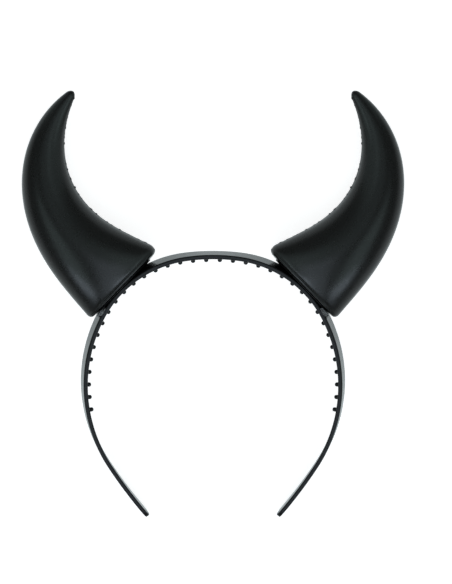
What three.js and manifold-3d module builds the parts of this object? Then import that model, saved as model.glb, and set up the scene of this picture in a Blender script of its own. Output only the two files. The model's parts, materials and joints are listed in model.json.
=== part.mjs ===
// A plastic headband with two hollow horns, modelled upright and then laid on its back.
// Upright: X runs to the right, the front faces -Y and the horns point to +Z. Millimetres.

import * as THREE from 'three';
import { LoftGeometry } from 'three/addons/geometries/LoftGeometry.js';
import { mergeVertices } from 'three/addons/utils/BufferGeometryUtils.js';
import Module from 'manifold-3d';

// Arch of the band's front outer edge, from the crown to one end, as tangent arcs.
const ARCH = [
  { radius: 88.4, sweepDeg: 8.5 },
  { radius: 56.2, sweepDeg: 53.6 },
  { radius: 78.6, sweepDeg: 59.6 },
  { radius: 252.0, sweepDeg: 7.5 },
];
const CROWN_HEIGHT = 58.5;
const BAND_DEPTH = 10;
const BAND_THICKNESS = { crown: 2.05, end: 1.8 };
const BAND_CHAMFER = 0.35;
const BAND_STEP = 4;
const BAND_END_STEPS = 4;
const BAND_END_HALF_DEPTH = 1.2;

// The back edge stands wider than the front edge; the lean fades out across the crown.
const FLARE_DEG = 12;
const FLARE_FADE = 9;

// One row of round pegs on the inside; they stand a little closer together at the crown.
const TEETH_PER_SIDE = 18;
const TOOTH_PITCH_CROWN = 6.16;
const TOOTH_PITCH_GROWTH = 0.25;
const TOOTH_PITCH = 6.74;
const TOOTH_SIDES = 8;
const TOOTH_ROOT = 0.8;
const TOOTH_PROFILE = [
  { radius: 0, height: -TOOTH_ROOT },
  { radius: 0.98, height: -TOOTH_ROOT },
  { radius: 0.9, height: 1.2 },
  { radius: 0.6, height: 1.85 },
  { radius: 0, height: 2.05 },
];

// Each horn stands on a seat plane tangent to the arch and leans back from the front.
const SEAT = { x: 43.55, z: 42.84 };
const SEAT_ANGLE_DEG = 46.1;
const HORN_LEAN_DEG = 9;

// Horn along its centreline, as cubics in the share of its length from the mouth to the tip.
const HORN_LENGTH = 112.1;
const HORN_SHIFT = 0.46;
const HORN_HEADING_DEG = [-9.5, 6, 182.6, -91.6];
const HORN_HALF_WIDTH = [24.2, -26.75, 18.06, -13.87];

// Depth of the horn as a share of its width: nearly round, and flattened towards the mouth.
const HORN_ROUND_RATIO = 0.9;
const HORN_FLATTENING = 0.43;
const HORN_FLAT_FADE = 0.19;
const HORN_SQUARE_SHARE = 0.25;
const HORN_TIP_SHARE = 0.02;
const HORN_WALL = 1.6;
const HORN_SIDES = 28;
const HORN_ROWS = 20;
const HOLLOW_ROWS = 12;
const HOLLOW_END_SHARE = 0.9;
const HOLLOW_TIP_SHARE = 0.02;
const HORN_PATH_STEPS = 400;
const TIP_ROWS = 3;

// The lower edge rolls inward to a flat rim around the mouth; the roll is tighter in depth.
const MOUTH_OUT = -0.2;
const ROLL_WIDTH = 3.5;
const ROLL_DEPTH = 2;
const ROLL_RISE = 3.5;
const ROLL_TIGHTNESS = 1.5;
const ROLL_ROWS = 5;
const RIM_WIDTH = 2.4;
const RIM_DEPTH = 1.2;
const RIM_RISE = 4;

// Base plate under the mouth, with a seat inside the hollow that takes the band.
const PLATE_SHIFT = -0.4;
const PLATE_HALF_LENGTH = 18.3;
const PLATE_HALF_DEPTH = 9.5;
const PLATE_THICKNESS = 0.4;
const PLATE_SIDES = 48;
const SADDLE_LENGTH = 16;
const SADDLE_DEPTH = 13;
const SADDLE_HEIGHT = 5;
const FIT_GAP = 0.3;
const PLATE_TOP = MOUTH_OUT - FIT_GAP;
const CHANNEL_REACH = 8;

// Glue lump between the lower end of the base and the band.
const GLUE = { along: -16.2, front: 5, height: -1.3 };
const GLUE_HALF = { along: 2.2, front: 2.2, height: 1.5 };
const GLUE_SIDES = 14;
const GLUE_ROWS = 10;

// Resting pose: on the backs of the horns and the ends of the arms, with the front up.
const REST_RISE_DEG = 6;

const wasm = await Module();
wasm.setup();

const rad = THREE.MathUtils.degToRad;

const cubic = (terms, s) => terms[0] + s * (terms[1] + s * (terms[2] + s * terms[3]));

const lerp = THREE.MathUtils.lerp;

// Closes a mesh by welding shared corners, dropping empty triangles and turning its faces out.
function closedGeometry(geometry) {
  const bare = new THREE.BufferGeometry();
  bare.setAttribute('position', geometry.getAttribute('position'));
  bare.setIndex(geometry.index);
  const welded = mergeVertices(bare, 1e-4);
  const points = welded.getAttribute('position');
  const corner = (i) => new THREE.Vector3().fromBufferAttribute(points, i);
  const triangles = [];
  let volume = 0;
  for (let k = 0; k < welded.index.count; k += 3) {
    const [a, b, c] = [0, 1, 2].map((j) => welded.index.getX(k + j));
    if (a === b || b === c || a === c) continue;
    triangles.push([a, b, c]);
    volume += corner(a).dot(corner(b).cross(corner(c)));
  }
  const outward = volume < 0 ? triangles.map(([a, b, c]) => [a, c, b]) : triangles;
  welded.setIndex(outward.flat());
  return welded;
}

function toSolid(geometry) {
  const closed = closedGeometry(geometry);
  const vertProperties = new Float32Array(closed.getAttribute('position').array);
  const triVerts = new Uint32Array(closed.index.array);
  return new wasm.Manifold(new wasm.Mesh({ numProp: 3, vertProperties, triVerts }));
}

function toGeometry(solid) {
  const mesh = solid.getMesh();
  const geometry = new THREE.BufferGeometry();
  geometry.setAttribute('position', new THREE.BufferAttribute(mesh.vertProperties, 3));
  geometry.setIndex(new THREE.BufferAttribute(mesh.triVerts, 1));
  return geometry;
}

// Length of half the arch, from the crown to one end.
const HALF_ARCH = ARCH.reduce((sum, arc) => sum + arc.radius * rad(arc.sweepDeg), 0);

// Thickness of the band, which thins a little towards its ends.
const bandThickness = (distance) =>
  lerp(BAND_THICKNESS.crown, BAND_THICKNESS.end, Math.abs(distance) / HALF_ARCH);

// Point and outward normal of the front outer edge at a signed distance from the crown.
function archAt(distance) {
  const side = Math.sign(distance) || 1;
  let left = Math.abs(distance);
  let heading = 0;
  const point = new THREE.Vector2(0, CROWN_HEIGHT);
  for (const arc of ARCH) {
    const turn = Math.min(left / arc.radius, rad(arc.sweepDeg));
    const chord = 2 * arc.radius * Math.sin(turn / 2);
    point.x += chord * Math.cos(heading + turn / 2);
    point.y -= chord * Math.sin(heading + turn / 2);
    heading += turn;
    left -= turn * arc.radius;
  }
  return {
    point: new THREE.Vector3(side * point.x, 0, point.y),
    normal: new THREE.Vector3(side * Math.sin(heading), 0, Math.cos(heading)),
  };
}

// Point of the band at a height over its outer face and a depth behind its middle.
function bandPoint(distance, height, depth) {
  const { point, normal } = archAt(distance);
  const place = point.addScaledVector(normal, height);
  const lean = Math.tan(rad(FLARE_DEG)) * Math.tanh(place.x / FLARE_FADE);
  return new THREE.Vector3(place.x + lean * (depth + BAND_DEPTH / 2), depth, place.z);
}

// Eight-sided section of the band: a flat bar with its corners taken off.
function bandSection(distance, top, bottom, halfDepth, chamfer) {
  const outline = [
    [top, halfDepth - chamfer], [top, chamfer - halfDepth],
    [top - chamfer, -halfDepth], [bottom + chamfer, -halfDepth],
    [bottom, chamfer - halfDepth], [bottom, halfDepth - chamfer],
    [bottom + chamfer, halfDepth], [top - chamfer, halfDepth],
  ];
  return outline.map(([height, depth]) => bandPoint(distance, height, depth));
}

// Distances of the band's sections: even steps, closer together where the ends round off.
function bandStations() {
  const round = BAND_DEPTH / 2;
  const plain = HALF_ARCH - round;
  const count = Math.round(plain / BAND_STEP - 0.5);
  const half = [];
  for (let k = 0; k <= count; k += 1) {
    half.push({ distance: plain * (k + 0.5) / (count + 0.5), halfDepth: round });
  }
  for (let k = 1; k <= BAND_END_STEPS; k += 1) {
    const turn = Math.PI / 2 * k / BAND_END_STEPS;
    const halfDepth = lerp(BAND_END_HALF_DEPTH, round, Math.cos(turn));
    half.push({ distance: plain + round * Math.sin(turn), halfDepth });
  }
  const mirrored = half.map(({ distance, halfDepth }) => ({ distance: -distance, halfDepth }));
  return [...mirrored.reverse(), ...half];
}

function bandArch() {
  const sections = bandStations().map(({ distance, halfDepth }) =>
    bandSection(distance, 0, -bandThickness(distance), halfDepth, BAND_CHAMFER));
  return toSolid(new LoftGeometry(sections, { capStart: true, capEnd: true }));
}

// Room that the band takes up inside a horn's base, with the fitting gap around it.
function bandChannel() {
  const sections = bandStations().map(({ distance }) =>
    bandSection(distance, FIT_GAP, -CHANNEL_REACH, BAND_DEPTH / 2 + FIT_GAP, FIT_GAP));
  return toSolid(new LoftGeometry(sections, { capStart: true, capEnd: true }));
}

function tooth(distance) {
  const profile = TOOTH_PROFILE.map(({ radius, height }) => new THREE.Vector2(radius, height));
  const geometry = new THREE.LatheGeometry(profile, TOOTH_SIDES);
  const { normal } = archAt(distance);
  const inward = normal.clone().negate();
  const turn = new THREE.Quaternion().setFromUnitVectors(new THREE.Vector3(0, 1, 0), inward);
  const foot = bandPoint(distance, -bandThickness(distance), 0);
  geometry.applyQuaternion(turn).translate(foot.x, foot.y, foot.z);
  return toSolid(geometry);
}

// Distances of one side's pegs from the crown; the pitch widens until it reaches its full size.
function toothDistances() {
  const distances = [TOOTH_PITCH_CROWN / 2];
  for (let k = 1; k < TEETH_PER_SIDE; k += 1) {
    const pitch = Math.min(TOOTH_PITCH, TOOTH_PITCH_CROWN + TOOTH_PITCH_GROWTH * (k - 1));
    distances.push(distances[k - 1] + pitch);
  }
  return distances;
}

function bandGeometry() {
  let solid = bandArch();
  for (const distance of toothDistances()) {
    solid = solid.add(tooth(distance)).add(tooth(-distance));
  }
  return toGeometry(solid);
}

// Axes of one horn: along its base from the lower end up, out of the base, and to the front.
function hornFrame(side) {
  const angle = rad(SEAT_ANGLE_DEG);
  const lean = rad(HORN_LEAN_DEG);
  const along = new THREE.Vector3(-side * Math.cos(angle), 0, Math.sin(angle));
  const straight = new THREE.Vector3(side * Math.sin(angle), 0, Math.cos(angle));
  const back = new THREE.Vector3(0, 1, 0);
  const out = straight.clone().multiplyScalar(Math.cos(lean)).addScaledVector(back, Math.sin(lean));
  const front = straight.clone().multiplyScalar(Math.sin(lean)).addScaledVector(back, -Math.cos(lean));
  const origin = new THREE.Vector3(side * SEAT.x, 0, SEAT.z);
  const place = (p, q, d) => origin.clone()
    .addScaledVector(along, p).addScaledVector(out, q).addScaledVector(front, d);
  const matrix = new THREE.Matrix4().makeBasis(along, front, out).setPosition(origin);
  return { place, matrix };
}

// Centreline of the horn in the plane of its base axes, walked in short steps.
function hornPath() {
  const path = [];
  let along = HORN_SHIFT;
  let out = MOUTH_OUT;
  const step = HORN_LENGTH / HORN_PATH_STEPS;
  for (let k = 0; k <= HORN_PATH_STEPS; k += 1) {
    const heading = rad(cubic(HORN_HEADING_DEG, (k + 0.5) / HORN_PATH_STEPS));
    path.push(new THREE.Vector2(along, out));
    along += step * Math.sin(heading);
    out += step * Math.cos(heading);
  }
  return path;
}

const HORN_PATH = hornPath();

// Centre, turn and half sizes of the horn's oval section; the mouth is square to the seat.
function hornSection(share) {
  const place = share * HORN_PATH_STEPS;
  const first = Math.min(Math.floor(place), HORN_PATH_STEPS - 1);
  const spot = HORN_PATH[first].clone().lerp(HORN_PATH[first + 1], place - first);
  const fade = Math.max(0, 1 - share / HORN_SQUARE_SHARE) ** 2;
  const tip = Math.max(0, share - 1 + HORN_TIP_SHARE) / HORN_TIP_SHARE;
  const halfWidth = cubic(HORN_HALF_WIDTH, share) * Math.sqrt(Math.max(0, 1 - tip * tip));
  const ratio = HORN_ROUND_RATIO - HORN_FLATTENING * Math.exp(-share / HORN_FLAT_FADE);
  return {
    along: spot.x,
    out: spot.y,
    turn: rad(cubic(HORN_HEADING_DEG, share) - HORN_HEADING_DEG[0] * fade),
    halfWidth,
    halfDepth: halfWidth * ratio,
  };
}

// Ring of points on the horn, moved in from its outside by insets across and in depth.
function hornRing(frame, share, insetAcross, insetDepth) {
  const section = hornSection(share);
  const ring = [];
  for (let k = 0; k < HORN_SIDES; k += 1) {
    const angle = 2 * Math.PI * k / HORN_SIDES;
    const across = (section.halfWidth - insetAcross) * Math.cos(angle);
    const depth = (section.halfDepth - insetDepth) * Math.sin(angle);
    const p = section.along + across * Math.cos(section.turn);
    const q = section.out - across * Math.sin(section.turn);
    ring.push(frame.place(p, q, depth));
  }
  return ring;
}

// Ring drawn together into one point on the centreline, which closes a surface there.
function hornPole(frame, share) {
  const { along, out } = hornSection(share);
  return Array.from({ length: HORN_SIDES }, () => frame.place(along, out, 0));
}

// Rings of the hollow from its closed end down to the rim of the mouth.
function hollowRings(frame) {
  const rings = [hornPole(frame, HOLLOW_END_SHARE + HOLLOW_TIP_SHARE)];
  for (let k = 0; k <= HOLLOW_ROWS; k += 1) {
    const share = lerp(HOLLOW_END_SHARE, RIM_RISE / HORN_LENGTH, k / HOLLOW_ROWS);
    rings.push(hornRing(frame, share, HORN_WALL, HORN_WALL));
  }
  rings.push(hornRing(frame, 0, ROLL_WIDTH + RIM_WIDTH, ROLL_DEPTH + RIM_DEPTH));
  return rings;
}

// Rings of the outside from the rim, around the rolled edge and up to the tip.
function outsideRings(frame) {
  const rings = [];
  for (let k = 0; k < ROLL_ROWS; k += 1) {
    const turn = Math.PI / 2 * (1 - k / ROLL_ROWS);
    const share = ROLL_RISE * (1 - Math.sin(turn)) / HORN_LENGTH;
    const inset = 1 - Math.cos(turn);
    rings.push(hornRing(frame, share, ROLL_WIDTH * inset, ROLL_DEPTH * inset ** ROLL_TIGHTNESS));
  }
  for (let k = 0; k < HORN_ROWS; k += 1) {
    const share = lerp(ROLL_RISE / HORN_LENGTH, 1 - HORN_TIP_SHARE, k / HORN_ROWS);
    rings.push(hornRing(frame, share, 0, 0));
  }
  for (let k = 0; k < TIP_ROWS; k += 1) {
    const turn = Math.PI / 2 * k / TIP_ROWS;
    rings.push(hornRing(frame, 1 - HORN_TIP_SHARE * (1 - Math.sin(turn)), 0, 0));
  }
  rings.push(hornPole(frame, 1));
  return rings;
}

// Hollow horn, notched at its rim where the band passes under it.
function hornGeometry(side) {
  const frame = hornFrame(side);
  const rings = [...hollowRings(frame), ...outsideRings(frame)];
  return toGeometry(toSolid(new LoftGeometry(rings)).subtract(bandChannel()));
}

// Flat oval block with its top at a height over the seat.
function ovalSolid(frame, halfLength, halfDepth, top, thickness) {
  const geometry = new THREE.CylinderGeometry(1, 1, thickness, PLATE_SIDES);
  geometry.rotateX(Math.PI / 2).scale(halfLength, halfDepth, 1);
  geometry.translate(PLATE_SHIFT, 0, top - thickness / 2).applyMatrix4(frame.matrix);
  return toSolid(geometry);
}

function saddleSolid(frame) {
  const geometry = new THREE.BoxGeometry(SADDLE_LENGTH, SADDLE_DEPTH, SADDLE_HEIGHT);
  const middle = PLATE_TOP - PLATE_THICKNESS / 2 + SADDLE_HEIGHT / 2;
  geometry.translate(HORN_SHIFT, 0, middle).applyMatrix4(frame.matrix);
  return toSolid(geometry);
}

function baseGeometry(side) {
  const frame = hornFrame(side);
  const plate = ovalSolid(frame, PLATE_HALF_LENGTH, PLATE_HALF_DEPTH, PLATE_TOP, PLATE_THICKNESS);
  return toGeometry(plate.add(saddleSolid(frame)).subtract(bandChannel()));
}

// Room under the base plate, a fitting gap below it.
function underPlate(frame) {
  const top = PLATE_TOP - PLATE_THICKNESS - FIT_GAP;
  return ovalSolid(frame, 2 * PLATE_HALF_LENGTH, 2 * PLATE_HALF_DEPTH, top, PLATE_HALF_LENGTH);
}

function glueGeometry(side) {
  const frame = hornFrame(side);
  const geometry = new THREE.SphereGeometry(1, GLUE_SIDES, GLUE_ROWS);
  geometry.scale(GLUE_HALF.along, GLUE_HALF.front, GLUE_HALF.height);
  geometry.translate(GLUE.along, GLUE.front, GLUE.height).applyMatrix4(frame.matrix);
  return toGeometry(toSolid(geometry).intersect(underPlate(frame)).subtract(bandChannel()));
}

const glossPlastic = new THREE.MeshStandardMaterial({ color: 0x0b0c0d, roughness: 0.22, metalness: 0 });
const satinPlastic = new THREE.MeshStandardMaterial({ color: 0x17191a, roughness: 0.38, metalness: 0 });
const basePlastic = new THREE.MeshStandardMaterial({ color: 0x0e0f10, roughness: 0.5, metalness: 0 });
const glue = new THREE.MeshStandardMaterial({ color: 0x3a3d3e, roughness: 0.15, metalness: 0 });

function namedMesh(name, geometry, material) {
  geometry.computeVertexNormals();
  const mesh = new THREE.Mesh(geometry, material);
  mesh.name = name;
  return mesh;
}

const upright = new THREE.Group();
upright.add(namedMesh('band', bandGeometry(), glossPlastic));
for (const [name, side] of [['left', -1], ['right', 1]]) {
  upright.add(namedMesh(`horn_${name}`, hornGeometry(side), satinPlastic));
  upright.add(namedMesh(`horn_${name}_base`, baseGeometry(side), basePlastic));
  upright.add(namedMesh(`glue_${name}`, glueGeometry(side), glue));
}

// Laid on its back: the front turns up, and the lowest point comes down to the floor.
upright.rotation.x = -rad(90 - REST_RISE_DEG);
const extent = new THREE.Box3().setFromObject(upright, true);
upright.position.set(0, -(extent.min.y + extent.max.y) / 2, -extent.min.z);

const headband = new THREE.Group();
headband.add(upright);

export default headband;
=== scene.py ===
import json
import math
import bmesh
import bpy
from mathutils import Matrix, Vector, noise


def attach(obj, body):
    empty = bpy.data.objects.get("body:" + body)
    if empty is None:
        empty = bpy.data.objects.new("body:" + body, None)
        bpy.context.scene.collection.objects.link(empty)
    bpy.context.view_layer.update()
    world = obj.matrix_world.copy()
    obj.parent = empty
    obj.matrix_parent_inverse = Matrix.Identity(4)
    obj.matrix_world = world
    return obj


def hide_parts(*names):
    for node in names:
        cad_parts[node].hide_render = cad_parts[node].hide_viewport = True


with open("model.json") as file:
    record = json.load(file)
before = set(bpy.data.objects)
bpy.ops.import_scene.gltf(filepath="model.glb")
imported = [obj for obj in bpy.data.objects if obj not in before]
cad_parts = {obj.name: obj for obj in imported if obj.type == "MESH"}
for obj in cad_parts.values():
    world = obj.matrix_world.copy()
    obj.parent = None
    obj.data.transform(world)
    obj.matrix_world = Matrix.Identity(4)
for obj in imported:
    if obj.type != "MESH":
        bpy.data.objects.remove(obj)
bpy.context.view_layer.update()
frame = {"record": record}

# A headband with two hollow horns, lying on its back on a pale floor.
# Sizes are millimetres in the upright frame: X to the right, front to -Y, horns to +Z.
MM = 0.001
QUARTER_TURN = math.pi / 2
FULL_TURN = 2 * math.pi
BACK = Vector((0, 1, 0))
SIDES = {"left": -1, "right": 1}

# Resting pose, and the mount whose packed place ties the upright frame to the row frame.
REST_RISE_DEG = 6.0
CROWN_MOUNT = "crown_seat"

# Arch of the band's front outer edge, from the crown to one end: radius and sweep of each arc.
ARCH = ((88.4, 8.5), (56.2, 53.6), (78.6, 59.6), (252.0, 7.5))
HALF_ARCH = sum(radius * math.radians(sweep) for radius, sweep in ARCH)
CROWN_HEIGHT = 58.5
BAND_DEPTH = 10.0
BAND_THICKNESS = {"crown": 2.05, "end": 1.8}
BAND_STEP = 0.9
BAND_END_ROWS = 14
BAND_END_HALF_DEPTH = 1.2

# The back edge of the band stands wider than its front edge, by a lean that fades out at the crown.
FLARE_DEG = 12.4
FLARE_FADE = 9.0

# The band is drawn a little fuller than its solid: on its front outer edge by a skin that grows from the
# crown to the ends, on its back outer edge and on its inside.
BAND_SKIN = {"crown": 0.0, "end": 0.2, "back": 0.24, "inner": 0.18}

# Round edges of the band. A short flat run at both ends of each round keeps the shading of the flat
# faces flat.
BAND_ROUND = {"outer": 0.65, "inner": 0.8}
BAND_ROUND_STEPS = 6
BAND_ROUND_HOLD = 0.08

# One row of round pegs inside the band; they stand a little closer together at the crown.
TEETH_PER_SIDE = 18
TOOTH_PITCH_CROWN = 6.16
TOOTH_PITCH_GROWTH = 0.25
TOOTH_PITCH = 6.74
TOOTH_SIDES = 20
TOOTH_ROOT = 0.8
TOOTH_RADIUS = 1.12
TOOTH_NECK = 1.07
TOOTH_SHOULDER = 1.5
TOOTH_HEIGHT = 2.4
TOOTH_FILLET = 0.3
TOOTH_CURVE_STEPS = 6

# Seat plane of each horn, and the horn along its centreline as cubics in the share of its length.
SEAT_X = 43.55
SEAT_Z = 42.84
SEAT_ANGLE_DEG = 46.1
HORN_LEAN_DEG = 9.0
HORN_LENGTH = 112.1
HORN_SHIFT = 0.46
HORN_HEADING_DEG = (-9.5, 6.0, 182.6, -91.6)
HORN_HALF_WIDTH = (24.2, -26.75, 18.06, -13.87)
HORN_ROUND_RATIO = 0.9
HORN_FLATTENING = 0.43
HORN_FLAT_FADE = 0.19
HORN_SQUARE_SHARE = 0.25
HORN_TIP_SHARE = 0.02
HORN_WALL = 1.6
HORN_PATH_STEPS = 800
HORN_ROWS = 220
HORN_SIDES = 96
TIP_ROWS = 10
HOLLOW_ROWS = 40
HOLLOW_END_SHARE = 0.9
HOLLOW_TIP_SHARE = 0.02

# Rolled lower edge of each horn, which is tighter in depth. Widths and rises are those of the corners at
# the upper and the lower end of the mouth.
MOUTH_OUT = -0.2
ROLL_WIDTHS = (4.0, 2.2)
ROLL_RISES = (4.0, 3.5)
ROLL_DEPTH = 2.0
ROLL_RISE = 3.5
ROLL_TIGHTNESS = 1.5
ROLL_ROWS = 60

# Fine bead along the front and back of that edge with a groove over it, and the flat rim around the
# mouth.
BEAD_ROUND = 0.3
GROOVE_RISE = 1.1
GROOVE_WIDTH = 0.32
GROOVE_DEPTH = 0.4
RIM_WIDTH = 2.4
RIM_DEPTH = 1.2
RIM_RISE = 4.0

# Parting line of the mould, a fine ridge along the inner and outer edge of each horn.
SEAM_HEIGHT = 0.12
SEAM_WIDTH = 0.3
SEAM_OFFSETS_DEG = (0.8, 1.6, 2.6)

# Rough flash on the inner parting line, with a few larger nubs by their share of the horn's length.
FLASH_HEIGHT = 0.6
FLASH_PERIOD = 1.7
NUB_SHARES = (0.362, 0.522, 0.574)
NUB_HEIGHT = 0.35
NUB_WIDTH = 0.6

# Base plate under each mouth, with the seat inside the hollow that takes the band.
PLATE_SHIFT = -0.4
PLATE_HALF_LENGTH = 18.3
PLATE_HALF_DEPTH = 9.5
PLATE_THICKNESS = 0.4
PLATE_ROUND = 0.15
PLATE_SIDES = 120
PLATE_ROUND_STEPS = 4
SADDLE_LENGTH = 16.0
SADDLE_DEPTH = 13.0
SADDLE_HEIGHT = 5.0
SADDLE_ROUND = 0.4
SADDLE_ROUND_STEPS = 3
SADDLE_ROUND_PROFILE = 0.5

# Gap between fitted pieces, and how far inside the band the room that is cut for it reaches.
FIT_GAP = 0.3
PLATE_TOP = MOUTH_OUT - FIT_GAP
CHANNEL_REACH = 8.0

# Glue lump between the lower end of each base and the band, kept to the room under the plate, which is
# cut larger than the plate.
UNDER_PLATE_SCALE = 2
GLUE_CENTRE = (-16.6, 5.0, -1.4)
GLUE_HALF = (2.8, 2.4, 1.7)
GLUE_DETAIL = 5
GLUE_LUMP_SIZE = 1.1
GLUE_LUMP_SHARE = 0.14

# Camera of the photograph in the upright frame, and the picture that it fills, in pixels.
CAMERA_PLACE = (0.0, -702.9, 195.13)
CAMERA_DIP_DEG = 12.513
PICTURE_HEIGHT = 584
PICTURE_MIDDLE_X = 226
AXIS_PIXEL_X = 213
FOCAL_PIXELS = 1473.4
SENSOR_MM = 36.0

# Materials. A grain size is the noise's count of grains in a metre and its detail. Tones and roughness
# run from their first value to their second one over a span of the noise. Relief heights are metres.
NOISE_SPAN = (0.3, 0.7)
SATIN_TONES = {"grain_size": (90, 4), "tones": ((0.0095, 0.0097, 0.009), (0.0103, 0.0105, 0.0098))}
SATIN_POLISH = {"grain_size": (260, 5), "roughness": (0.26, 0.3)}
SATIN_RELIEF = {"grain_size": (1800, 3), "strength": 0.04, "height": 0.0001}
GLOSS_TONES = {"grain_size": (120, 4), "tones": ((0.008, 0.008, 0.0084), (0.012, 0.012, 0.0126))}
GLOSS_POLISH = {"grain_size": (500, 4), "roughness": (0.15, 0.24)}
GLOSS_RELIEF = {"grain_size": (900, 2), "strength": 0.06, "height": 0.0001}
GLOSS_SPECULAR = 0.34
# Base plate tones: partly their own dark plastic and partly painted shade, darker than the horns so the
# gap under each horn stays black.
BASE_TONES_AND_PAINTED_SHADE = {"grain_size": (200, 4), "tones": ((0.003, 0.003, 0.0032), (0.005, 0.005, 0.0054))}
BASE_POLISH = {"grain_size": (600, 4), "roughness": (0.28, 0.36)}
BASE_RELIEF = {"grain_size": (1500, 3), "strength": 0.1, "height": 0.0001}
BASE_SPECULAR = 0.1
GLUE_TONES = {
    "grain_size": (1900, 4),
    "tones": ((0.006, 0.0065, 0.007), (0.22, 0.225, 0.23)),
    "span": (0.42, 0.6),
}
GLUE_POLISH = {"grain_size": (900, 3), "roughness": (0.08, 0.22)}
GLUE_RELIEF = {"grain_size": (1100, 2), "strength": 0.25, "height": 0.0003}
FLOOR_TONES = {"grain_size": (6, 3), "tones": ((0.59, 0.59, 0.59), (0.61, 0.61, 0.61))}
FLOOR_ROUGHNESS = 0.9
FLOOR_SPECULAR = 0.0
FLOOR_GLOW_COLOUR = (1, 1, 1, 1)
FLOOR_GLOW = 0.83

# Edges that turn by more than this stay sharp in the shading.
SHARP_DEG = 40.0

# Studio: a floor, a plain world and soft panels, in metres, with the panels' targets in millimetres.
# Seen from its target, a panel stands off the camera's axis by one angle and is turned around that axis
# by another: 0 is outwards and 90 is up.
FLOOR_HALF = 6.0
FLOOR_CELLS = 12
BLUE_LIGHT = (0.86, 1.0, 1.14)
TEAL_LIGHT = (0.77, 1.0, 1.0)
WHITE_LIGHT = (1.0, 1.0, 1.0)
OBJECT_MIDDLE = (0, 0, 40)
HORN_MIDDLE = (70, 0, 75)
SKY_HEIGHT = 2.4
SKY_PANEL = {"size": (6.0, 6.0), "radiance": 0.3, "colour": WHITE_LIGHT}
LOW_PANEL = {
    "off_deg": 28,
    "clock_deg": -90,
    "roll_deg": 0,
    "reach": 1.0,
    "size": (0.5, 1.06),
    "radiance": 0.78,
    "colour": BLUE_LIGHT,
}
NEAR_PANEL = {
    "off_deg": 10,
    "clock_deg": 90,
    "roll_deg": 0,
    "reach": 1.0,
    "size": (0.9, 0.4),
    "radiance": 0.22,
    "colour": TEAL_LIGHT,
}
LAMP_PANEL = {
    "off_deg": 62,
    "clock_deg": -54,
    "roll_deg": 36,
    "reach": 0.8,
    "size": (0.36, 0.2),
    "radiance": 2.3,
    "colour": BLUE_LIGHT,
}
TAIL_PANEL = {
    "off_deg": 45,
    "clock_deg": -29,
    "roll_deg": 10,
    "reach": 0.8,
    "size": (0.34, 0.58),
    "radiance": 0.7,
    "colour": TEAL_LIGHT,
}
HEAD_PANEL = {
    "off_deg": 76,
    "clock_deg": 48,
    "roll_deg": 0,
    "reach": 0.9,
    "size": (1.0, 0.4),
    "radiance": 0.26,
    "colour": TEAL_LIGHT,
}
RIM_PANEL = {
    "off_deg": 44,
    "clock_deg": 240,
    "roll_deg": 0,
    "reach": 0.9,
    "size": (0.34, 0.3),
    "radiance": 2.0,
    "colour": BLUE_LIGHT,
}
FAN_PANEL = {
    "off_deg": 50,
    "clock_deg": 176,
    "roll_deg": 0,
    "reach": 0.9,
    "size": (1.5, 0.92),
    "radiance": 0.29,
    "colour": TEAL_LIGHT,
}

# Light of the world by the height of its direction, from straight down to straight up.
WORLD_STOPS = ((-1.0, 0.9), (-0.5, 0.6), (-0.1, 0.42), (0.02, 0.12), (0.12, 0.06), (1.0, 0.06))
WORLD_TINT = (0.9, 1.0, 1.02)


def cubic(terms, share):
    """Value of a cubic, given its four terms from the constant up."""
    return terms[0] + share * (terms[1] + share * (terms[2] + share * terms[3]))


def lerp(start, end, share):
    """Value at a share of the way from start to end."""
    return start + (end - start) * share


REST_TURN = Matrix.Rotation(math.radians(REST_RISE_DEG - 90), 4, "X")


def rest_matrix():
    """Takes upright millimetres to the row frame's metres, tied at the crown of the band's inside."""
    turn = REST_TURN @ Matrix.Scale(MM, 4)
    mounts = {mount["name"]: mount for mount in frame["record"]["mounts"]}
    crown = Vector((0, 0, CROWN_HEIGHT - BAND_THICKNESS["crown"]))
    shift = Vector(mounts[CROWN_MOUNT]["pos_m"]) - turn @ crown
    return Matrix.Translation(shift) @ turn


REST = rest_matrix()


def loft(rings):
    """Points and faces of a closed skin through rings of equal count; a ring of one point is a pole."""
    points = []
    starts = []
    for ring in rings:
        starts.append(len(points))
        points.extend(ring)
    faces = []
    for row in range(len(rings) - 1):
        low = len(rings[row])
        high = len(rings[row + 1])
        sides = max(low, high)
        for k in range(sides):
            turn = (k + 1) % sides
            a = starts[row] + k % low
            b = starts[row] + turn % low
            c = starts[row + 1] + turn % high
            d = starts[row + 1] + k % high
            if low == high:
                faces.append([a, b, c, d])
            elif high == 1:
                faces.append([a, b, c])
            else:
                faces.append([a, c, d])
    for row in (0, len(rings) - 1):
        if len(rings[row]) > 1:
            faces.append([starts[row] + k for k in range(len(rings[row]))])
    return points, faces


def mesh_piece(name, parts):
    """Mesh object of one or more skins given in upright points, with its faces turned out."""
    points = []
    faces = []
    for part_points, part_faces in parts:
        start = len(points)
        points.extend(REST @ point for point in part_points)
        faces.extend([start + k for k in face] for face in part_faces)
    mesh = bpy.data.meshes.new(name)
    mesh.from_pydata(points, [], faces)
    shape = bmesh.new()
    shape.from_mesh(mesh)
    bmesh.ops.recalc_face_normals(shape, faces=shape.faces)
    shape.to_mesh(mesh)
    shape.free()
    piece = bpy.data.objects.new(name, mesh)
    bpy.context.scene.collection.objects.link(piece)
    return piece


def combine(piece, tool, operation):
    """Joins a closed piece with another one or cuts it by that one, which is then gone."""
    modifier = piece.modifiers.new("combine", "BOOLEAN")
    modifier.operation = operation
    modifier.solver = "MANIFOLD"
    modifier.object = tool
    graph = bpy.context.evaluated_depsgraph_get()
    mesh = bpy.data.meshes.new_from_object(piece.evaluated_get(graph))
    piece.modifiers.clear()
    piece.data = mesh
    bpy.data.objects.remove(tool)


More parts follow.
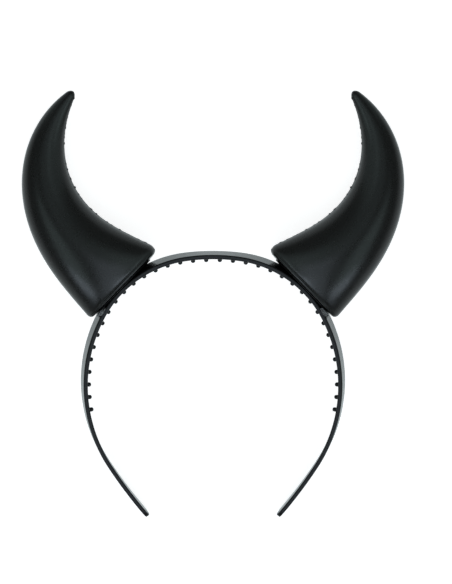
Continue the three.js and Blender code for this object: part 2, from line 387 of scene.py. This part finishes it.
def finish_piece(piece, material, node):
    """Smooth shading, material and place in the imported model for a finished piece."""
    piece.data.shade_smooth()
    piece.data.set_sharp_from_angle(angle=math.radians(SHARP_DEG))
    piece.data.materials.clear()
    piece.data.materials.append(material)
    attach(piece, "root")
    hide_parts(node)


def arch_at(distance):
    """Point and outward normal of the front outer edge at a signed distance from the crown."""
    side = math.copysign(1, distance)
    left = abs(distance)
    heading = 0.0
    x = 0.0
    z = CROWN_HEIGHT
    for radius, sweep in ARCH:
        turn = min(left / radius, math.radians(sweep))
        chord = 2 * radius * math.sin(turn / 2)
        x += chord * math.cos(heading + turn / 2)
        z -= chord * math.sin(heading + turn / 2)
        heading += turn
        left -= turn * radius
    return Vector((side * x, 0, z)), Vector((side * math.sin(heading), 0, math.cos(heading)))


def band_point(distance, height, depth):
    """Point of the band at a height over its outer face and a depth behind its middle."""
    point, normal = arch_at(distance)
    place = point + normal * height
    lean = math.tan(math.radians(FLARE_DEG)) * math.tanh(place.x / FLARE_FADE)
    return Vector((place.x + lean * (depth + BAND_DEPTH / 2), depth, place.z))


def band_thickness(distance):
    """Thickness of the band, which thins a little towards its ends."""
    return lerp(BAND_THICKNESS["crown"], BAND_THICKNESS["end"], abs(distance) / HALF_ARCH)


def band_section(distance, gap, bottom, half_depth, outer_round, inner_round):
    """Section of the band at a distance from the crown, a gap outside its skin: a bar with round edges."""
    back = gap + BAND_SKIN["back"]
    front = gap + lerp(BAND_SKIN["crown"], BAND_SKIN["end"], abs(distance) / HALF_ARCH)
    corners = (
        (half_depth - outer_round, back - outer_round, outer_round),
        (outer_round - half_depth, front - outer_round, outer_round),
        (inner_round - half_depth, bottom + inner_round, inner_round),
        (half_depth - inner_round, bottom + inner_round, inner_round),
    )
    section = []
    for quarter, (depth, height, rounding) in enumerate(corners):
        for step in range(-1, BAND_ROUND_STEPS + 2):
            on_curve = min(max(step, 0), BAND_ROUND_STEPS)
            slide = BAND_ROUND_HOLD * (step - on_curve)
            turn = QUARTER_TURN * (quarter + on_curve / BAND_ROUND_STEPS)
            up = height + rounding * math.sin(turn) + slide * math.cos(turn)
            along = depth + rounding * math.cos(turn) - slide * math.sin(turn)
            section.append(band_point(distance, up, along))
    return section


def band_stations():
    """Distances of the band's sections with their half depths: even steps, then a round end."""
    full = BAND_DEPTH / 2
    plain = HALF_ARCH - full
    count = round(plain / BAND_STEP - 0.5)
    half = [(plain * (k + 0.5) / (count + 0.5), full) for k in range(count + 1)]
    for k in range(1, BAND_END_ROWS + 1):
        turn = QUARTER_TURN * k / BAND_END_ROWS
        half.append((plain + full * math.sin(turn), lerp(BAND_END_HALF_DEPTH, full, math.cos(turn))))
    return [(-distance, depth) for distance, depth in reversed(half)] + half


def band_arch():
    """Skin of the arch without its pegs."""
    outer = BAND_ROUND["outer"]
    inner = BAND_ROUND["inner"]
    rings = []
    for distance, half_depth in band_stations():
        bottom = -band_thickness(distance) - BAND_SKIN["inner"]
        rings.append(band_section(distance, 0, bottom, half_depth, outer, inner))
    return loft(rings)


def band_channel():
    """Room that the band takes up inside a horn's base, with the fitting gap around it."""
    half_depth = BAND_DEPTH / 2 + FIT_GAP
    rings = []
    for distance, _ in band_stations():
        rings.append(band_section(distance, FIT_GAP, -CHANNEL_REACH, half_depth, FIT_GAP, FIT_GAP))
    return mesh_piece("channel", [loft(rings)])


def tooth_profile():
    """Radius and height of a peg from its root: a small fillet, a straight neck and a blunt dome."""
    profile = [(TOOTH_RADIUS + TOOTH_FILLET, -TOOTH_ROOT)]
    for step in range(TOOTH_CURVE_STEPS + 1):
        turn = QUARTER_TURN * step / TOOTH_CURVE_STEPS
        radius = TOOTH_RADIUS + TOOTH_FILLET * (1 - math.sin(turn))
        profile.append((radius, TOOTH_FILLET * (1 - math.cos(turn))))
    dome = TOOTH_HEIGHT - TOOTH_SHOULDER
    for step in range(TOOTH_CURVE_STEPS):
        turn = QUARTER_TURN * step / TOOTH_CURVE_STEPS
        profile.append((TOOTH_NECK * math.cos(turn), TOOTH_SHOULDER + dome * math.sin(turn)))
    return profile


def tooth(distance):
    """One peg on the inside of the band, pointing in."""
    _, normal = arch_at(distance)
    foot = band_point(distance, -band_thickness(distance), 0)
    across = normal.cross(BACK)
    rings = [[foot + normal * TOOTH_ROOT]]
    for radius, height in tooth_profile():
        ring = []
        for k in range(TOOTH_SIDES):
            turn = FULL_TURN * k / TOOTH_SIDES
            spoke = across * math.cos(turn) + BACK * math.sin(turn)
            ring.append(foot - normal * height + spoke * radius)
        rings.append(ring)
    rings.append([foot - normal * TOOTH_HEIGHT])
    return loft(rings)


def tooth_distances():
    """Distances of one side's pegs from the crown; the pitch widens until it reaches its full size."""
    distances = [TOOTH_PITCH_CROWN / 2]
    for k in range(TEETH_PER_SIDE - 1):
        pitch = min(TOOTH_PITCH, TOOTH_PITCH_CROWN + TOOTH_PITCH_GROWTH * k)
        distances.append(distances[-1] + pitch)
    return distances


def make_band(material):
    """The arch with its pegs as one piece."""
    pegs = [tooth(side * distance) for distance in tooth_distances() for side in SIDES.values()]
    band = mesh_piece("toothed_band", [band_arch()])
    combine(band, mesh_piece("pegs", pegs), "UNION")
    finish_piece(band, material, "band")


def horn_frame(side):
    """Matrix of one horn's axes: along its base from the lower end up, to the front, out of the base."""
    angle = math.radians(SEAT_ANGLE_DEG)
    lean = math.radians(HORN_LEAN_DEG)
    along = Vector((-side * math.cos(angle), 0, math.sin(angle)))
    straight = Vector((side * math.sin(angle), 0, math.cos(angle)))
    out = straight * math.cos(lean) + BACK * math.sin(lean)
    front = straight * math.sin(lean) - BACK * math.cos(lean)
    axes = Matrix((along, front, out)).transposed().to_4x4()
    return Matrix.Translation(Vector((side * SEAT_X, 0, SEAT_Z))) @ axes


def horn_path():
    """Centreline of the horn in the plane of its base axes, walked in short steps."""
    path = []
    along = HORN_SHIFT
    out = MOUTH_OUT
    step = HORN_LENGTH / HORN_PATH_STEPS
    for k in range(HORN_PATH_STEPS + 1):
        heading = math.radians(cubic(HORN_HEADING_DEG, (k + 0.5) / HORN_PATH_STEPS))
        path.append(Vector((along, out)))
        along += step * math.sin(heading)
        out += step * math.cos(heading)
    return path


HORN_PATH = horn_path()


def horn_section(share):
    """Centre, turn and half sizes of the horn's oval section; the mouth is square to the seat."""
    place = share * HORN_PATH_STEPS
    first = min(int(place), HORN_PATH_STEPS - 1)
    centre = HORN_PATH[first].lerp(HORN_PATH[first + 1], place - first)
    fade = max(0, 1 - share / HORN_SQUARE_SHARE) ** 2
    turn = math.radians(cubic(HORN_HEADING_DEG, share) - HORN_HEADING_DEG[0] * fade)
    tip = max(0, share - 1 + HORN_TIP_SHARE) / HORN_TIP_SHARE
    half_width = cubic(HORN_HALF_WIDTH, share) * math.sqrt(max(0, 1 - tip * tip))
    ratio = HORN_ROUND_RATIO - HORN_FLATTENING * math.exp(-share / HORN_FLAT_FADE)
    return centre, turn, half_width, half_width * ratio


def ring_angles():
    """Angles around a horn: even steps, with closer ones at the two parting lines."""
    angles = [FULL_TURN * k / HORN_SIDES for k in range(HORN_SIDES)]
    for middle in (0, math.pi):
        for offset in SEAM_OFFSETS_DEG:
            angles.append((middle + math.radians(offset)) % FULL_TURN)
            angles.append((middle - math.radians(offset)) % FULL_TURN)
    return sorted(angles)


RING_ANGLES = ring_angles()


def seam_rise(angle, share, half_depth):
    """Height of the parting line's ridge and nubs over the horn's oval at an angle."""
    reach = half_depth * math.sin(angle) / SEAM_WIDTH
    rise = SEAM_HEIGHT * math.exp(-reach * reach)
    if math.cos(angle) > 0:
        around = half_depth * math.sin(angle) / NUB_WIDTH
        flash = FLASH_HEIGHT * max(0, noise.noise((share * HORN_LENGTH / FLASH_PERIOD, 0, 0)))
        for nub_share in NUB_SHARES:
            along = (share - nub_share) * HORN_LENGTH / NUB_WIDTH
            flash += NUB_HEIGHT * math.exp(-along * along)
        rise += flash * math.exp(-around * around)
    return rise


def horn_ring(axes, share, inset_ends, inset_depth, seam):
    """Ring of points on a horn, moved in at its upper and lower end and in depth; seam adds the ridges."""
    centre, turn, half_width, half_depth = horn_section(share)
    ring = []
    for angle in RING_ANGLES:
        rise = seam * seam_rise(angle, share, half_depth)
        inset_across = inset_ends[0] if math.cos(angle) > 0 else inset_ends[1]
        across = (half_width - inset_across + rise) * math.cos(angle)
        depth = (half_depth - inset_depth) * math.sin(angle)
        p = centre.x + across * math.cos(turn)
        q = centre.y - across * math.sin(turn)
        ring.append(axes @ Vector((p, depth, q)))
    return ring


def horn_pole(axes, share):
    """Ring of one point on a horn's centreline."""
    centre = horn_section(share)[0]
    return [axes @ Vector((centre.x, 0, centre.y))]


def hollow_rings(axes):
    """Rings of the hollow from its closed end down to the rim of the mouth."""
    rings = [horn_pole(axes, HOLLOW_END_SHARE + HOLLOW_TIP_SHARE)]
    for k in range(HOLLOW_ROWS + 1):
        share = lerp(HOLLOW_END_SHARE, RIM_RISE / HORN_LENGTH, k / HOLLOW_ROWS)
        rings.append(horn_ring(axes, share, (HORN_WALL, HORN_WALL), HORN_WALL, 0))
    rim = [width + RIM_WIDTH for width in ROLL_WIDTHS]
    rings.append(horn_ring(axes, 0, rim, ROLL_DEPTH + RIM_DEPTH, 0))
    return rings


def roll_inset(height, rise):
    """Share of its full inset that a rolled edge of some rise has at a height over the mouth."""
    lower = max(0, 1 - height / rise)
    return 1 - math.sqrt(1 - lower * lower)


def end_insets(height):
    """Insets of the rolled edge at the upper and lower end of the mouth, at a height over it."""
    return [width * roll_inset(height, rise) for width, rise in zip(ROLL_WIDTHS, ROLL_RISES)]


def lip_inset(height):
    """Inset of the edge's front and back at a height: a fine bead, a groove over it, then the roll."""
    roll = ROLL_DEPTH * roll_inset(max(height, GROOVE_RISE), ROLL_RISE) ** ROLL_TIGHTNESS
    groove = GROOVE_DEPTH * math.exp(-(((height - GROOVE_RISE) / GROOVE_WIDTH) ** 2))
    return roll + groove + BEAD_ROUND * roll_inset(height, BEAD_ROUND)


def outside_rings(axes):
    """Rings of the outside from the rim, around the rolled edge and up to the tip."""
    rings = []
    for k in range(ROLL_ROWS):
        height = ROLL_RISE * k / ROLL_ROWS
        seam = 1 - roll_inset(height, ROLL_RISE)
        rings.append(horn_ring(axes, height / HORN_LENGTH, end_insets(height), lip_inset(height), seam))
    for k in range(HORN_ROWS):
        share = lerp(ROLL_RISE / HORN_LENGTH, 1 - HORN_TIP_SHARE, k / HORN_ROWS)
        rings.append(horn_ring(axes, share, end_insets(share * HORN_LENGTH), 0, 1))
    for k in range(TIP_ROWS):
        turn = QUARTER_TURN * k / TIP_ROWS
        share = 1 - HORN_TIP_SHARE * (1 - math.sin(turn))
        rings.append(horn_ring(axes, share, (0, 0), 0, math.cos(turn)))
    rings.append(horn_pole(axes, 1))
    return rings


def make_horn(name, side, material):
    """One hollow horn, notched where the band passes."""
    axes = horn_frame(side)
    horn = mesh_piece(f"horn_shell_{name}", [loft(hollow_rings(axes) + outside_rings(axes))])
    combine(horn, band_channel(), "DIFFERENCE")
    finish_piece(horn, material, f"horn_{name}")
    return horn


def oval(axes, half_length, half_depth, profile):
    """Oval skin over the seat; profile holds the inset and the height of its rings."""
    rings = []
    for inset, height in profile:
        ring = []
        for k in range(PLATE_SIDES):
            turn = FULL_TURN * k / PLATE_SIDES
            p = PLATE_SHIFT + (half_length - inset) * math.cos(turn)
            ring.append(axes @ Vector((p, (half_depth - inset) * math.sin(turn), height)))
        rings.append(ring)
    return loft(rings)


def plate(axes):
    """Oval plate with a rounded edge, a fitting gap below the mouth of its horn."""
    profile = []
    corners = ((-1, PLATE_TOP - PLATE_THICKNESS + PLATE_ROUND), (0, PLATE_TOP - PLATE_ROUND))
    for quarter, height in corners:
        for step in range(PLATE_ROUND_STEPS + 1):
            turn = QUARTER_TURN * (quarter + step / PLATE_ROUND_STEPS)
            inset = PLATE_ROUND * (1 - math.cos(turn))
            profile.append((inset, height + PLATE_ROUND * math.sin(turn)))
    return oval(axes, PLATE_HALF_LENGTH, PLATE_HALF_DEPTH, profile)


def saddle(axes):
    """Block inside the hollow that the band's channel is cut into, with its edges rounded."""
    shape = bmesh.new()
    bmesh.ops.create_cube(shape, size=1)
    bmesh.ops.scale(shape, vec=(SADDLE_LENGTH, SADDLE_DEPTH, SADDLE_HEIGHT), verts=shape.verts)
    middle = PLATE_TOP - PLATE_THICKNESS / 2 + SADDLE_HEIGHT / 2
    bmesh.ops.translate(shape, vec=(HORN_SHIFT, 0, middle), verts=shape.verts)
    bmesh.ops.bevel(
        shape,
        geom=shape.edges,
        offset=SADDLE_ROUND,
        segments=SADDLE_ROUND_STEPS,
        profile=SADDLE_ROUND_PROFILE,
        affect="EDGES",
    )
    shape.verts.index_update()
    points = [axes @ vertex.co for vertex in shape.verts]
    faces = [[vertex.index for vertex in face.verts] for face in shape.faces]
    shape.free()
    return points, faces


def make_base(name, side, material):
    """One base: its plate and the seat that straddles the band."""
    axes = horn_frame(side)
    base = mesh_piece(f"base_plate_{name}", [plate(axes)])
    combine(base, mesh_piece("saddle", [saddle(axes)]), "UNION")
    combine(base, band_channel(), "DIFFERENCE")
    finish_piece(base, material, f"horn_{name}_base")


def under_plate(axes):
    """Room under the base plate, a fitting gap below it."""
    top = PLATE_TOP - PLATE_THICKNESS - FIT_GAP
    profile = ((0, top - PLATE_HALF_LENGTH), (0, top))
    half_length = UNDER_PLATE_SCALE * PLATE_HALF_LENGTH
    half_depth = UNDER_PLATE_SCALE * PLATE_HALF_DEPTH
    return mesh_piece("under_plate", [oval(axes, half_length, half_depth, profile)])


def glue_blob(axes):
    """Lumpy round blob of set glue."""
    shape = bmesh.new()
    bmesh.ops.create_icosphere(shape, subdivisions=GLUE_DETAIL, radius=1)
    shape.verts.index_update()
    points = []
    for vertex in shape.verts:
        spot = Vector(half * part for half, part in zip(GLUE_HALF, vertex.co))
        lump = 1 + GLUE_LUMP_SHARE * noise.noise(spot / GLUE_LUMP_SIZE)
        points.append(axes @ (Vector(GLUE_CENTRE) + spot * lump))
    faces = [[vertex.index for vertex in face.verts] for face in shape.faces]
    shape.free()
    return points, faces


def make_glue(name, side, material):
    """One glue lump, a fitting gap away from the base and the band."""
    axes = horn_frame(side)
    glue = mesh_piece(f"glue_lump_{name}", [glue_blob(axes)])
    combine(glue, under_plate(axes), "INTERSECT")
    combine(glue, band_channel(), "DIFFERENCE")
    finish_piece(glue, material, f"glue_{name}")


def new_material(name):
    """Node material with its principled shader."""
    material = bpy.data.materials.new(name)
    material.use_nodes = True
    return material, material.node_tree.nodes["Principled BSDF"]


def grain(material, per_metre, detail):
    """Noise over the piece's own coordinates, with that many grains in a metre."""
    tree = material.node_tree
    place = tree.nodes.new("ShaderNodeTexCoord")
    texture = tree.nodes.new("ShaderNodeTexNoise")
    texture.inputs["Scale"].default_value = per_metre
    texture.inputs["Detail"].default_value = detail
    tree.links.new(place.outputs["Object"], texture.inputs["Vector"])
    return texture.outputs["Fac"]


def tint(material, shader, grain_size, tones, span=NOISE_SPAN):
    """Colours the shader between two tones by a grain."""
    tree = material.node_tree
    ramp = tree.nodes.new("ShaderNodeValToRGB")
    for stop, position, tone in zip(ramp.color_ramp.elements, span, tones):
        stop.position = position
        stop.color = (*tone, 1)
    tree.links.new(grain(material, *grain_size), ramp.inputs["Fac"])
    tree.links.new(ramp.outputs["Color"], shader.inputs["Base Color"])


def polish(material, shader, grain_size, roughness):
    """Varies the shader's roughness between two values by a grain."""
    tree = material.node_tree
    spread = tree.nodes.new("ShaderNodeMapRange")
    spread.inputs["From Min"].default_value = NOISE_SPAN[0]
    spread.inputs["From Max"].default_value = NOISE_SPAN[1]
    spread.inputs["To Min"].default_value = roughness[0]
    spread.inputs["To Max"].default_value = roughness[1]
    tree.links.new(grain(material, *grain_size), spread.inputs["Value"])
    tree.links.new(spread.outputs["Result"], shader.inputs["Roughness"])


def relief(material, shader, grain_size, strength, height):
    """Fine surface relief from a grain."""
    tree = material.node_tree
    bump = tree.nodes.new("ShaderNodeBump")
    bump.inputs["Strength"].default_value = strength
    bump.inputs["Distance"].default_value = height
    tree.links.new(grain(material, *grain_size), bump.inputs["Height"])
    tree.links.new(bump.outputs["Normal"], shader.inputs["Normal"])


def satin_plastic():
    """Black moulded horn plastic with a satin skin."""
    material, shader = new_material("satin_plastic")
    tint(material, shader, **SATIN_TONES)
    polish(material, shader, **SATIN_POLISH)
    relief(material, shader, **SATIN_RELIEF)
    return material


def gloss_plastic():
    """Glossy black plastic of the band."""
    material, shader = new_material("gloss_plastic")
    tint(material, shader, **GLOSS_TONES)
    polish(material, shader, **GLOSS_POLISH)
    relief(material, shader, **GLOSS_RELIEF)
    shader.inputs["Specular IOR Level"].default_value = GLOSS_SPECULAR
    return material


def base_plastic():
    """Dark plastic of the base plates, toned darker than the horns as painted shade for the gap under each
    horn.
    """
    material, shader = new_material("base_plastic")
    tint(material, shader, **BASE_TONES_AND_PAINTED_SHADE)
    polish(material, shader, **BASE_POLISH)
    relief(material, shader, **BASE_RELIEF)
    shader.inputs["Specular IOR Level"].default_value = BASE_SPECULAR
    return material


def set_glue():
    """Glue set over black plastic: mottled and wet looking."""
    material, shader = new_material("set_glue")
    tint(material, shader, **GLUE_TONES)
    polish(material, shader, **GLUE_POLISH)
    relief(material, shader, **GLUE_RELIEF)
    return material


def floor_paint():
    """Pale matt paint with an even glow, like a light table."""
    material, shader = new_material("floor_paint")
    tint(material, shader, **FLOOR_TONES)
    shader.inputs["Roughness"].default_value = FLOOR_ROUGHNESS
    shader.inputs["Specular IOR Level"].default_value = FLOOR_SPECULAR
    shader.inputs["Emission Color"].default_value = FLOOR_GLOW_COLOUR
    shader.inputs["Emission Strength"].default_value = FLOOR_GLOW
    return material


def make_floor():
    """Floor under the headband, which the glossy reflections leave out."""
    shape = bmesh.new()
    bmesh.ops.create_grid(shape, x_segments=FLOOR_CELLS, y_segments=FLOOR_CELLS, size=FLOOR_HALF)
    mesh = bpy.data.meshes.new("floor")
    shape.to_mesh(mesh)
    shape.free()
    floor = bpy.data.objects.new("floor", mesh)
    bpy.context.scene.collection.objects.link(floor)
    floor.data.materials.append(floor_paint())
    floor.visible_glossy = False


def make_panel(name, place, turn, size, radiance, colour):
    """Soft rectangular light that shines along its own -Z."""
    light = bpy.data.lights.new(name, "AREA")
    light.shape = "RECTANGLE"
    light.size, light.size_y = size
    light.energy = radiance * math.pi * size[0] * size[1]
    light.color = colour
    panel = bpy.data.objects.new(name, light)
    panel.matrix_world = Matrix.Translation(place) @ turn
    panel.visible_camera = False
    bpy.context.scene.collection.objects.link(panel)
    return panel


def camera_panel(name, side, middle, off_deg, clock_deg, roll_deg, reach, size, radiance, colour):
    """Panel placed by its angles off the camera's axis, for a target on one side of the object."""
    dip = math.radians(CAMERA_DIP_DEG)
    up = Vector((0, math.sin(dip), math.cos(dip)))
    axis = Vector((0, -math.cos(dip), math.sin(dip)))
    off = math.radians(off_deg)
    clock = math.radians(clock_deg)
    aside = Vector((side * math.cos(clock), 0, 0)) + up * math.sin(clock)
    ray = aside * math.sin(off) + axis * math.cos(off)
    across = up.cross(ray).normalized()
    upright = Matrix((across, ray.cross(across), ray)).transposed()
    rolled = upright @ Matrix.Rotation(math.radians(side * roll_deg), 3, "Z")
    place = Vector((side * middle[0], *middle[1:])) + ray * reach / MM
    return make_panel(name, REST @ place, REST_TURN @ rolled.to_4x4(), size, radiance, colour)


def lit_alone(panel, piece):
    """Keeps a panel's light to one piece."""
    receivers = bpy.data.collections.new(f"{panel.name}_receivers")
    receivers.objects.link(piece)
    panel.light_linking.receiver_collection = receivers


def make_world():
    """Dim world with a pale lower half, which stands for the floor in the reflections."""
    world = bpy.data.worlds.new("studio")
    world.use_nodes = True
    tree = world.node_tree
    place = tree.nodes.new("ShaderNodeTexCoord")
    parts = tree.nodes.new("ShaderNodeSeparateXYZ")
    spread = tree.nodes.new("ShaderNodeMapRange")
    ramp = tree.nodes.new("ShaderNodeValToRGB")
    spread.inputs["From Min"].default_value = -1
    stops = ramp.color_ramp.elements
    for height, _ in WORLD_STOPS[1:-1]:
        stops.new((height + 1) / 2)
    for stop, (_, grey) in zip(stops, WORLD_STOPS):
        stop.color = (*(grey * part for part in WORLD_TINT), 1)
    tree.links.new(place.outputs["Generated"], parts.inputs["Vector"])
    tree.links.new(parts.outputs["Z"], spread.inputs["Value"])
    tree.links.new(spread.outputs["Result"], ramp.inputs["Fac"])
    tree.links.new(ramp.outputs["Color"], tree.nodes["Background"].inputs["Color"])
    bpy.context.scene.world = world


def make_studio():
    """World, a panel overhead that shows in no reflection, and panels below and above the camera."""
    make_world()
    above = Vector((0, 0, SKY_HEIGHT))
    sky = make_panel("sky_panel", above, Matrix(), **SKY_PANEL)
    sky.visible_glossy = False
    camera_panel("low_panel", 1, OBJECT_MIDDLE, **LOW_PANEL)
    camera_panel("near_panel", 1, OBJECT_MIDDLE, **NEAR_PANEL)
    bpy.context.scene.view_settings.view_transform = "Standard"


def light_horn(name, side, horn):
    """Lamp and its dimmer tail at one horn's outer side, and three panels for that horn alone."""
    camera_panel(f"lamp_panel_{name}", side, HORN_MIDDLE, **LAMP_PANEL)
    camera_panel(f"tail_panel_{name}", side, HORN_MIDDLE, **TAIL_PANEL)
    for kind, panel in (("head", HEAD_PANEL), ("fan", FAN_PANEL), ("rim", RIM_PANEL)):
        lit_alone(camera_panel(f"{kind}_panel_{name}", side, HORN_MIDDLE, **panel), horn)


def make_camera():
    """Camera at the photograph's place and angle."""
    camera = bpy.data.cameras.new("camera")
    camera.sensor_width = SENSOR_MM
    camera.lens = FOCAL_PIXELS * SENSOR_MM / PICTURE_HEIGHT
    camera.shift_x = (PICTURE_MIDDLE_X - AXIS_PIXEL_X) / PICTURE_HEIGHT
    holder = bpy.data.objects.new("camera", camera)
    tilt = Matrix.Rotation(math.radians(90 - CAMERA_DIP_DEG), 4, "X")
    holder.matrix_world = Matrix.Translation(REST @ Vector(CAMERA_PLACE)) @ REST_TURN @ tilt
    bpy.context.scene.collection.objects.link(holder)
    bpy.context.scene.camera = holder


make_camera()
make_studio()
make_floor()
make_band(gloss_plastic())
horn_material = satin_plastic()
base_material = base_plastic()
glue_material = set_glue()
for side_name, side_sign in SIDES.items():
    light_horn(side_name, side_sign, make_horn(side_name, side_sign, horn_material))
    make_base(side_name, side_sign, base_material)
    make_glue(side_name, side_sign, glue_material)
